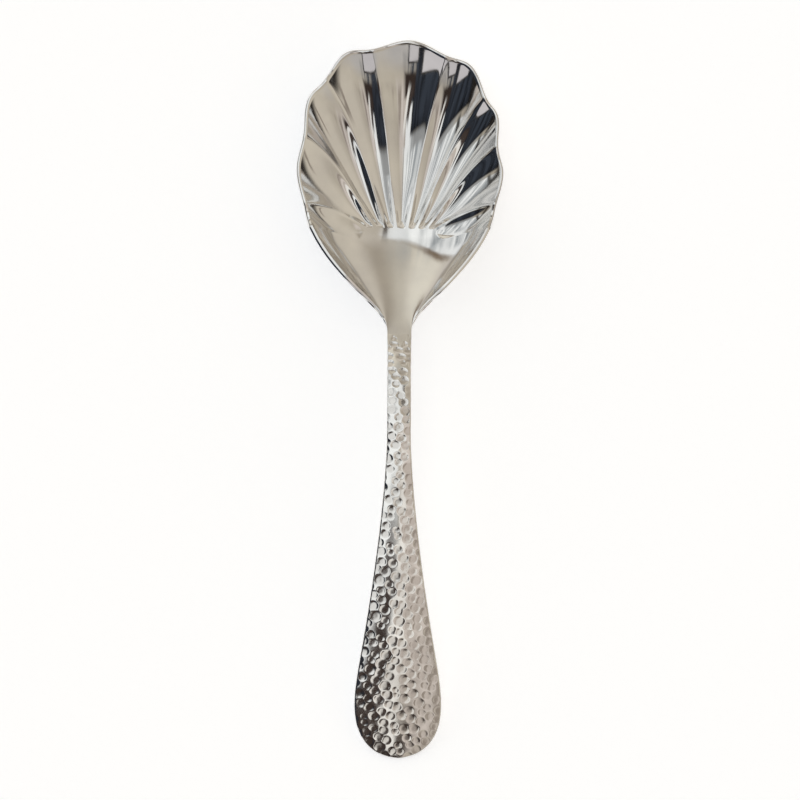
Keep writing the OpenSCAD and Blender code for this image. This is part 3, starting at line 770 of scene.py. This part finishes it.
class SPOON_OT_handle(bpy.types.Operator):
    """Make the handle: a bent, widening blank with hammer marks pressed into its front"""

    bl_idname = "spoon.make_handle"
    bl_label = "Handle"

    def execute(self, context):
        blank = Blank(sizes_of(context.scene.spoon_handle), Dish(sizes_of(context.scene.spoon_bowl)))
        d = blank.sections()
        y, z, slope = blank.line(d, blank.fall)
        half = blank.half(y)[:, None]
        taper = (blank.end_thickness - blank.neck_thickness) * (SEAM_Y - y) / (SEAM_Y - END_Y)
        thick = (blank.neck_thickness + taper)[:, None]
        fade = ease((SEAM_Y - y) / blank.CROWN_START)[:, None]

        # Front, from the right edge to the left, with cuts that crowd where the edges roll over
        roll = np.minimum(blank.edge_round, blank.ROLL_LIMIT * half)
        turn = np.sin(math.pi / 2 * np.arange(ROLL_CUTS, 0, -1) / ROLL_CUTS)
        right = half - roll + roll * turn
        middle = (half - roll) * (1 - 2 * np.arange(FRONT_CUTS + 1) / FRONT_CUTS)
        x = np.concatenate([right, middle, -right[:, ::-1]], axis=1)
        down = -blank.front_drop(x, np.repeat(y[:, None], x.shape[1], axis=1))
        # Side, rounded lower edge and back, from the left to the right
        low = thick / 2 + (thick / 2 - blank.SIDE_LOW) * fade
        bend = math.pi / 2 * np.arange(BACK_ROUND_CUTS + 1) / BACK_ROUND_CUTS
        round_x = half - blank.BACK_ROUND * fade * (1 - np.cos(bend))
        round_z = -low - (thick - low) * np.sin(bend)
        back = round_x[:, -1:] * (2 * np.arange(1, BACK_CUTS) / BACK_CUTS - 1)
        x = np.concatenate([x, -round_x, back, round_x[:, ::-1]], axis=1)
        flat_back = -np.repeat(thick, BACK_CUTS - 1, axis=1)
        up = np.concatenate([down, round_z, flat_back, round_z[:, ::-1]], axis=1)

        points = np.stack([x, y[:, None] + up * np.sin(slope)[:, None],
                           z[:, None] + up * np.cos(slope)[:, None]], axis=-1)
        points[..., 2] = np.maximum(points[..., 2], 0)
        rows, columns = x.shape
        grid = np.arange(rows * columns).reshape(rows, columns)
        side = np.roll(grid, -1, axis=1)
        quads = np.stack([grid[:-1], grid[1:], side[1:], side[:-1]], axis=-1).reshape(-1, 4)
        faces = [f[::-1] for f in quads.tolist()] + [grid[0].tolist()[::-1], grid[-1].tolist()]

        # The marks start raggedly at the neck, where they are deepest
        hammer = context.scene.spoon_hammering
        gain = 1 + hammer.neck_gain * np.exp(-d / hammer.crowded_run)
        front = np.zeros((rows, columns))
        late = hammer.ragged * (0.5 + 0.5 * np.sin(x[:, :down.shape[1]] / RAGGED_WAVE + RAGGED_TURN))
        front[:, :down.shape[1]] = ease((d[:, None] - late) / RAGGED_RUN) * gain[:, None]
        even = even_distance(hammer, d)
        flat = np.stack([x, np.repeat(even[:, None], columns, axis=1), np.zeros_like(x)], axis=-1)
        made = mesh_object("hammered_handle", points.reshape(-1, 3), faces,
                           {"mark_flat": flat.reshape(-1, 3), "mark_front": front.ravel(),
                            "mark_depth": np.zeros(front.size)})

        spots, widths, layers = hammer_marks(blank, hammer)
        tree = hammer_tree()
        finish = hammered_steel(context.scene.spoon_finish.hammered)
        for layer in range(layers.max() + 1):
            ours = layers == layer
            cloud = mesh_object("mark_places", np.column_stack([spots[ours], np.zeros(ours.sum())]), [],
                                {"mark_radius": widths[ours] / 2})
            press(made, tree, {"Depth": hammer.depth, "Usual radius": hammer.width / 2, "Marks": cloud,
                               "Material": finish})
            bpy.data.objects.remove(cloud)
        # How deep each place lies in the marks, which sets the painted shade in their hollows
        pressed = np.empty(len(made.data.vertices), np.float32)
        made.data.attributes["mark_depth"].data.foreach_get("value", pressed)
        hollow = made.data.attributes.new("hollow", "FLOAT", "POINT")
        hollow.data.foreach_set("value", np.clip(pressed / hammer.depth, 0, 1))
        clear_places(made)
        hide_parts("handle")
        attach(made, "root")
        return {"FINISHED"}


def linear(code):
    """Linear RGBA of an sRGB hex value."""
    parts = [int(code[i:i + 2], 16) / 255 for i in (1, 3, 5)]
    return [p / 12.92 if p <= 0.04045 else ((p + 0.055) / 1.055) ** 2.4 for p in parts] + [1.0]


def new_material(name):
    """An empty node material with its principled shader."""
    material = bpy.data.materials.new(name)
    material.use_nodes = True
    tree = material.node_tree
    tree.nodes.clear()
    shader = add(tree, "ShaderNodeBsdfPrincipled")
    add(tree, "ShaderNodeOutputMaterial", {"Surface": shader})
    return material, tree, shader


def grain(tree, size, detail=2.0):
    """Noise in the object's own space, whose lumps have the given lengths along x, y and z."""
    place = add(tree, "ShaderNodeTexCoord").outputs["Object"]
    place = add(tree, "ShaderNodeVectorMath", [place, [1 / s for s in size]], operation="MULTIPLY")
    return add(tree, "ShaderNodeTexNoise", {"Vector": place, "Scale": 1.0, "Detail": detail}).outputs["Fac"]


# Levels of noise between which the tint and the haze of the steel go from their least to their most
TINT_LEVELS = (0.35, 0.65)
HAZE_LEVELS = (0.35, 0.7)


def steel(name, code, tint, cloud, haze, reliefs, hollows=None):
    """Bright steel: a faint tint in clouds of the given size, haze on the mirror and fine relief.

    haze is the least and greatest roughness. Each relief is the size of its lumps and their height.
    The last argument is the colour of painted shade that darkens the hollows of the marks.
    """
    material, tree, shader = new_material(name)
    shader.inputs["Metallic"].default_value = 1.0
    clouds = grain(tree, [cloud] * 3, detail=3.0)
    mixed = add(tree, "ShaderNodeMapRange", [clouds, *TINT_LEVELS, 0.0, 1.0])
    colour_mix = add(tree, "ShaderNodeMix", {0: mixed, 6: linear(code), 7: linear(tint)}, data_type="RGBA")
    # Painted shade: the deeper a place lies in a mark, the more its colour goes to the darker hollow colour
    if hollows:
        hollow = add(tree, "ShaderNodeAttribute", attribute_name="hollow").outputs["Fac"]
        colour_mix = add(tree, "ShaderNodeMix", {0: hollow, 6: colour_mix.outputs[2], 7: linear(hollows)},
                         data_type="RGBA")
    tree.links.new(colour_mix.outputs[2], shader.inputs["Base Color"])
    wiped = grain(tree, [cloud / 3, cloud, cloud / 3], detail=4.0)
    wiped = add(tree, "ShaderNodeMapRange", [wiped, *HAZE_LEVELS, *haze])
    tree.links.new(wiped.outputs[0], shader.inputs["Roughness"])
    normal = None
    for size, height in reliefs:
        lumps = grain(tree, size)
        normal = add(tree, "ShaderNodeBump", {"Strength": 1.0, "Distance": height, "Height": lumps,
                                              "Normal": normal})
    tree.links.new(normal.outputs[0], shader.inputs["Normal"])
    return material


def polished_steel(code):
    """Mirror-polished stainless steel: clear reflections that waver, with lines from the wheel."""
    reliefs = [
        # Slow waves of the pressed sheet, which make straight reflections waver
        ((7 * MM, 11 * MM, 7 * MM), 0.022 * MM),
        # Polishing lines along the spoon; real ones are finer, but would not show at this distance
        ((0.7 * MM, 18 * MM, 0.7 * MM), 0.0022 * MM),
    ]
    return steel("Mirror-polished stainless steel", code, tint="#DAD8D6", cloud=14 * MM,
                 haze=(0.04, 0.1), reliefs=reliefs)


def hammered_steel(code):
    """Hammered stainless steel, tumbled bright: soft reflections, with painted shade that makes the hollows
    greyer than the lands.
    """
    # Peel that the tumbling leaves between and inside the marks
    reliefs = [((1.3 * MM, 1.3 * MM, 1.3 * MM), 0.004 * MM)]
    # The darker colour given last is painted shade in the hollows of the marks
    return steel("Hammered stainless steel", code, tint="#D6D3CF", cloud=9 * MM, haze=(0.06, 0.13),
                 reliefs=reliefs, hollows="#D5D1CC")


# Soft cards of the studio, as they lie on the plane of slopes: a level mirror shows the place at
# (0, 0) and a mirror that leans by a slope shows the place at that slope, up to the horizon at 1.
# Each has a name, a colour, a level of light, its centre, its half size, its turn in degrees, its
# softness, and whether upright folds break it up.
CARDS = (
    ("Pale card beyond the tip", "#E0D9CF", 1.0, (-0.7, 1.05), (1.3, 0.5), -16, 0.4, False),
    ("Dim card beyond the tip", "#A9A092", 1.0, (0.1, 0.44), (0.17, 0.11), 0, 0.7, False),
    ("Softbox glow", "#F0EBDE", 1.0, (-0.24, 0.48), (0.22, 0.1), -27, 0.8, False),
    ("Grey card behind the handle", "#C4C1BE", 1.0, (0.0, -1.08), (1.6, 0.5), 0, 0.2, False),
    ("Lit card on the right", "#D3CBBD", 1.05, (0.72, 0.05), (0.4, 0.6), 8, 0.6, False),
    ("Bright corner of the lit card", "#F3ECE0", 1.1, (0.86, 0.56), (0.12, 0.06), 30, 0.6, False),
    ("Shaded edge of the lit card", "#9A9085", 1.0, (0.79, -0.15), (0.02, 0.12), 14, 0.7, False),
    ("Warm card", "#DDD4CD", 1.0, (0.11, -0.2), (0.09, 0.24), 0, 0.45, False),
    ("Warm card's folds", "#A0968C", 1.0, (0.17, -0.27), (0.12, 0.14), 12, 0.5, True),
    ("Softbox head", "#EEF1F2", 1.2, (-0.743, 0.426), (0.8, 0.22), -27, 0.08, False),
    ("Softbox", "#F4F7F8", 1.22, (-0.7, 0.13), (0.74, 0.15), 0, 0.12, False),
    ("Softbox folds", "#A9AFB3", 1.0, (-0.56, 0.2), (0.5, 0.24), -8, 0.3, True),
    ("Softbox post", "#4C4C4A", 1.0, (-0.84, 0.08), (0.025, 0.17), 28, 0.5, False),
    ("Softbox rail", "#7D6B58", 1.0, (-0.31, 0.457), (0.24, 0.013), -27, 0.7, False),
    ("Softbox edge", "#6E6862", 1.0, (0.055, 0.14), (0.016, 0.13), -4, 0.6, False),
    ("Softbox foot", "#A3A5A6", 1.0, (-0.46, -0.05), (0.22, 0.045), 4, 0.5, False),
    ("Black flag", "#151619", 1.0, (-0.5, -0.315), (0.42, 0.22), 4, 0.12, False),
    ("Black flag's arm", "#222225", 1.0, (-0.26, -0.7), (0.07, 0.3), 0, 0.2, False),
    ("Black flag's folds", "#3B414B", 1.0, (-0.44, -0.42), (0.44, 0.3), 6, 0.3, True),
    ("Brown flag", "#3A312D", 1.0, (-0.07, -0.43), (0.12, 0.1), 0, 0.3, False),
    ("White strip", "#F2F5F6", 1.15, (-0.085, -0.14), (0.08, 0.14), 0, 0.2, False),
    ("Brown strip", "#463D39", 1.0, (-0.09, -0.29), (0.036, 0.14), -22, 0.35, False),
    ("Left lamp frame", "#3A3836", 1.0, (-0.46, -0.61), (0.165, 0.12), 0, 0.08, False),
    ("Left lamp", "#DAD7DA", 1.0, (-0.46, -0.61), (0.145, 0.1), 0, 0.08, False),
    ("Right lamp frame", "#3A3836", 1.0, (-0.12, -0.73), (0.105, 0.12), 0, 0.08, False),
    ("Right lamp", "#D2CFD2", 1.0, (-0.12, -0.73), (0.085, 0.1), 0, 0.08, False),
    ("Bright strip", "#F4F2EE", 1.05, (0.0, -0.25), (0.026, 0.17), -22, 0.35, False),
)
# Backdrop behind the cards: its two tones, how often its patches repeat, and the noise between the tones
BACKDROP = "#C2BAAC"
BACKDROP_SHADE = "#B0A89A"
PATCHES = 3.2
PATCH_LEVELS = (0.42, 0.68)
# Folds: how often they repeat across and along, and the noise at which they are empty and full
FOLDS = (13, 1.5, 1)
FOLD_LEVELS = (0.62, 0.42)
# Dark band along the horizon: its colour, where it begins and is whole, and how it pales beyond the tip
HORIZON = "#2C2825"
HORIZON_REACH = (0.82, 0.94)
HORIZON_PALING = (0.2, 0.5, 1.0, 0.4)
# Table: its size, its roughness, and the light that it adds to look white
TABLE_SIZE = 8.0
TABLE_ROUGHNESS = 0.9
TABLE_GLOW = 0.52
TABLE_GLOW_COLOUR = "#F8FAFF"
# Camera: its height, the width of its frame, the height at which it spans that, and its shift and turn
CAMERA_HEIGHT = 2.5
FRAME_WIDTH = 800 / 3 * MM
FRAME_HEIGHT = 12 * MM
CAMERA_ASIDE = 0.3 * MM
CAMERA_TURN = math.radians(0.25)
SENSOR_WIDTH = 36
CLIP_END = 20


def white_table(code):
    """Matt white table top that looks white to the eye and to the metal, and keeps the soft shadow."""
    material, tree, shader = new_material("Matt white table top")
    shader.inputs["Base Color"].default_value = linear(code)
    shader.inputs["Roughness"].default_value = TABLE_ROUGHNESS
    path = add(tree, "ShaderNodeLightPath")
    looked_at = add(tree, "ShaderNodeMath", [path.outputs["Is Camera Ray"], path.outputs["Is Glossy Ray"]],
                    operation="MAXIMUM")
    looked_at = add(tree, "ShaderNodeMath", [looked_at, path.outputs["Is Transmission Ray"]],
                    operation="MAXIMUM")
    glow = add(tree, "ShaderNodeMath", [looked_at, TABLE_GLOW], operation="MULTIPLY")
    tree.links.new(glow.outputs[0], shader.inputs["Emission Strength"])
    shader.inputs["Emission Color"].default_value = linear(TABLE_GLOW_COLOUR)
    return material


def studio_world():
    """Studio surroundings: a warm backdrop all round, with soft cards that the metal mirrors."""
    world = bpy.data.worlds.new("Studio")
    world.use_nodes = True
    tree = world.node_tree
    tree.nodes.clear()
    math_node = "ShaderNodeMath"
    way = add(tree, "ShaderNodeTexCoord").outputs["Generated"]
    parts = add(tree, "ShaderNodeSeparateXYZ", [way])
    # A hair more than 1 keeps the division finite straight down
    rise = add(tree, math_node, [parts.outputs["Z"], 1.001], operation="ADD")
    over = add(tree, math_node, [1.0, rise], operation="DIVIDE")
    plane = add(tree, "ShaderNodeVectorMath", {0: way, "Scale": over}, operation="SCALE")
    plane = add(tree, "ShaderNodeVectorMath", [plane, (1, 1, 0)], operation="MULTIPLY")
    folds = add(tree, "ShaderNodeVectorMath", [plane, FOLDS], operation="MULTIPLY")
    folds = add(tree, "ShaderNodeTexNoise", {"Vector": folds, "Scale": 1.0, "Detail": 2.0}).outputs["Fac"]
    folds = add(tree, "ShaderNodeMapRange", [folds, *FOLD_LEVELS, 0.0, 1.0])
    # Uneven light on the backdrop
    uneven = add(tree, "ShaderNodeTexNoise", {"Vector": plane, "Scale": PATCHES, "Detail": 3.0})
    uneven = add(tree, "ShaderNodeMapRange", [uneven.outputs["Fac"], *PATCH_LEVELS, 0.0, 1.0],
                 interpolation_type="SMOOTHSTEP")
    seen = add(tree, "ShaderNodeMix", {0: uneven, 6: linear(BACKDROP), 7: linear(BACKDROP_SHADE)},
               data_type="RGBA").outputs[2]
    for name, code, level, centre, half, turn, softness, folded in CARDS:
        local = add(tree, "ShaderNodeMapping", {
            "Vector": plane, "Location": (*centre, 0), "Rotation": (0, 0, math.radians(turn)),
            "Scale": (*half, 1)}, vector_type="TEXTURE", label=name)
        off = add(tree, "ShaderNodeVectorMath", [local], operation="ABSOLUTE")
        off = add(tree, "ShaderNodeSeparateXYZ", [off])
        off = add(tree, math_node, [off.outputs["X"], off.outputs["Y"]], operation="MAXIMUM")
        cover = add(tree, "ShaderNodeMapRange", [off, 1 - softness, 1 + softness, 1.0, 0.0],
                    interpolation_type="SMOOTHSTEP")
        if folded:
            cover = add(tree, math_node, [cover, folds], operation="MULTIPLY")
        lit = [level * part for part in linear(code)[:3]] + [1.0]
        seen = add(tree, "ShaderNodeMix", {0: cover, 6: seen, 7: lit}, data_type="RGBA").outputs[2]
    # A dark band along the horizon, which draws the edges of the metal against the white table
    off = add(tree, "ShaderNodeVectorMath", [plane], operation="LENGTH").outputs["Value"]
    cover = add(tree, "ShaderNodeMapRange", [off, *HORIZON_REACH, 0.0, 1.0],
                interpolation_type="SMOOTHSTEP")
    height = add(tree, "ShaderNodeSeparateXYZ", [plane]).outputs["Y"]
    paler = add(tree, "ShaderNodeMapRange", [height, *HORIZON_PALING])
    cover = add(tree, math_node, [cover, paler], operation="MULTIPLY")
    seen = add(tree, "ShaderNodeMix", {0: cover, 6: seen, 7: linear(HORIZON)}, data_type="RGBA").outputs[2]
    light = add(tree, "ShaderNodeBackground", {"Color": seen, "Strength": 1.0})
    add(tree, "ShaderNodeOutputWorld", [light])
    return world


class SPOON_OT_stage(bpy.types.Operator):
    """Make the table, the soft studio surroundings and the camera above the spoon"""

    bl_idname = "spoon.make_stage"
    bl_label = "Stage"

    def execute(self, context):
        scene = context.scene
        scene.view_settings.view_transform = "Standard"
        half = TABLE_SIZE / 2
        corners = np.array([(-half, -half, 0), (half, -half, 0), (half, half, 0), (-half, half, 0)])
        table = mesh_object("table", corners, [[0, 1, 2, 3]], {})
        table.data.materials.append(white_table(scene.spoon_finish.floor))
        scene.world = studio_world()

        camera = bpy.data.cameras.new("camera")
        camera.sensor_width = SENSOR_WIDTH
        camera.lens = SENSOR_WIDTH * (CAMERA_HEIGHT - FRAME_HEIGHT) / FRAME_WIDTH
        camera.clip_end = CLIP_END
        eye = bpy.data.objects.new("camera", camera)
        eye.location = (CAMERA_ASIDE, 0, CAMERA_HEIGHT)
        eye.rotation_euler.z = CAMERA_TURN
        scene.collection.objects.link(eye)
        scene.camera = eye
        return {"FINISHED"}


class SPOON_PT_parts(bpy.types.Panel):
    """Lists the pieces of the spoon and its stage"""

    bl_label = "Shell Serving Spoon"
    bl_idname = "SPOON_PT_parts"
    bl_space_type = "VIEW_3D"
    bl_region_type = "UI"
    bl_category = "Spoon"

    def draw(self, context):
        for operator in (SPOON_OT_bowl, SPOON_OT_handle, SPOON_OT_stage):
            self.layout.operator(operator.bl_idname)
        for name in SETTINGS:
            group = getattr(context.scene, name)
            box = self.layout.box()
            box.label(text=group.__doc__)
            for key in group.__annotations__:
                box.prop(group, key)


SETTINGS = {
    "spoon_bowl": SpoonBowl,
    "spoon_flutes": SpoonFlutes,
    "spoon_handle": SpoonHandle,
    "spoon_hammering": SpoonHammering,
    "spoon_finish": SpoonFinish,
}
CLASSES = (*SETTINGS.values(), SPOON_OT_bowl, SPOON_OT_handle, SPOON_OT_stage, SPOON_PT_parts)


def register():
    for cls in CLASSES:
        bpy.utils.register_class(cls)
    for name, group in SETTINGS.items():
        setattr(bpy.types.Scene, name, PointerProperty(type=group))


def unregister():
    for name in SETTINGS:
        delattr(bpy.types.Scene, name)
    for cls in reversed(CLASSES):
        bpy.utils.unregister_class(cls)


def main():
    register()
    bpy.ops.spoon.make_bowl()
    bpy.ops.spoon.make_handle()
    bpy.ops.spoon.make_stage()


if __name__ == "__main__":
    main()
